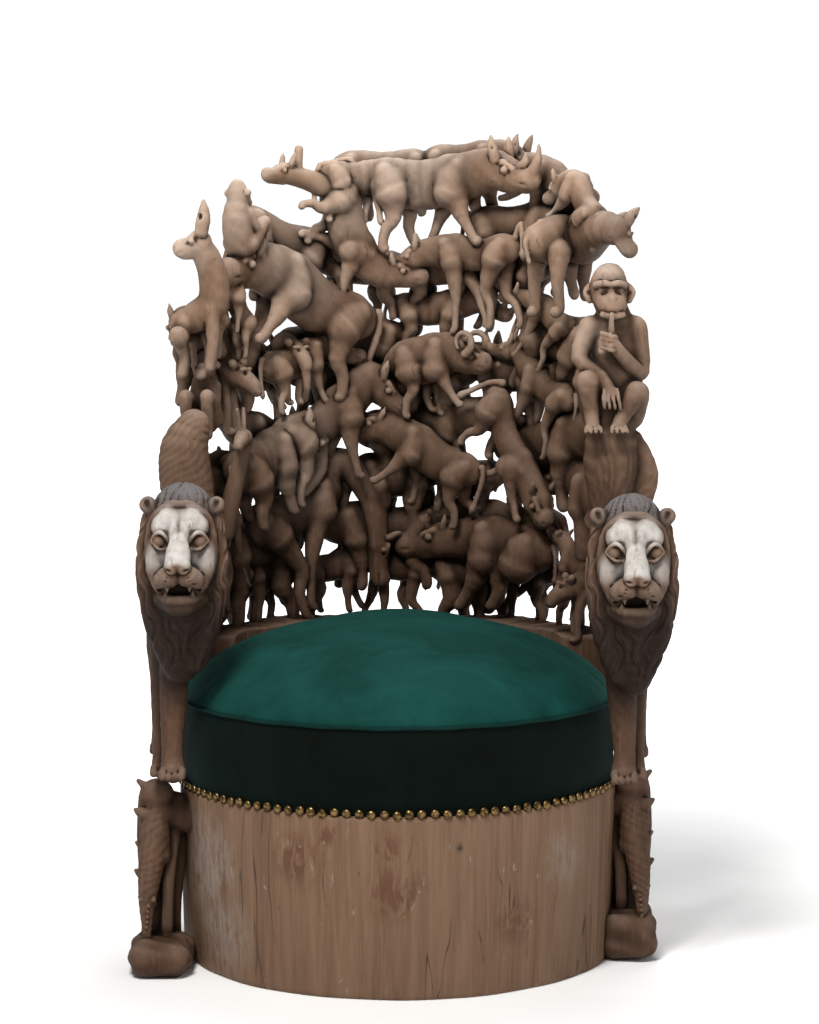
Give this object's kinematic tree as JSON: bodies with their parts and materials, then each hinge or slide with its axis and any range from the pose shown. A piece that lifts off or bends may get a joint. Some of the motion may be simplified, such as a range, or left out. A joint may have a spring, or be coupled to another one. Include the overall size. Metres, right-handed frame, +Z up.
{
  "type": "carved throne",
  "caption": "Throne carved from one log, with a plain drum seat, a pierced back of interlocked animals, lion arm ends and a padded velvet cushion edged with nail heads.",
  "frame": {"origin": "on the floor, on the axis of the drum", "axes": "+Z up, the sitter looks towards -Y, +X to the right as seen from the front"},
  "size_m": [0.9104, 0.8007, 1.418],
  "materials": {
    "carved_wood": "dry, dusty and hand carved",
    "velvet": "short pile velvet",
    "brass_nails": "antique, tarnished"
  },
  "bodies": {
    "root": {"carved_throne": "carved_wood", "seat_cushion": "velvet", "nail_trim": "brass_nails"}
  },
  "joints": []
}
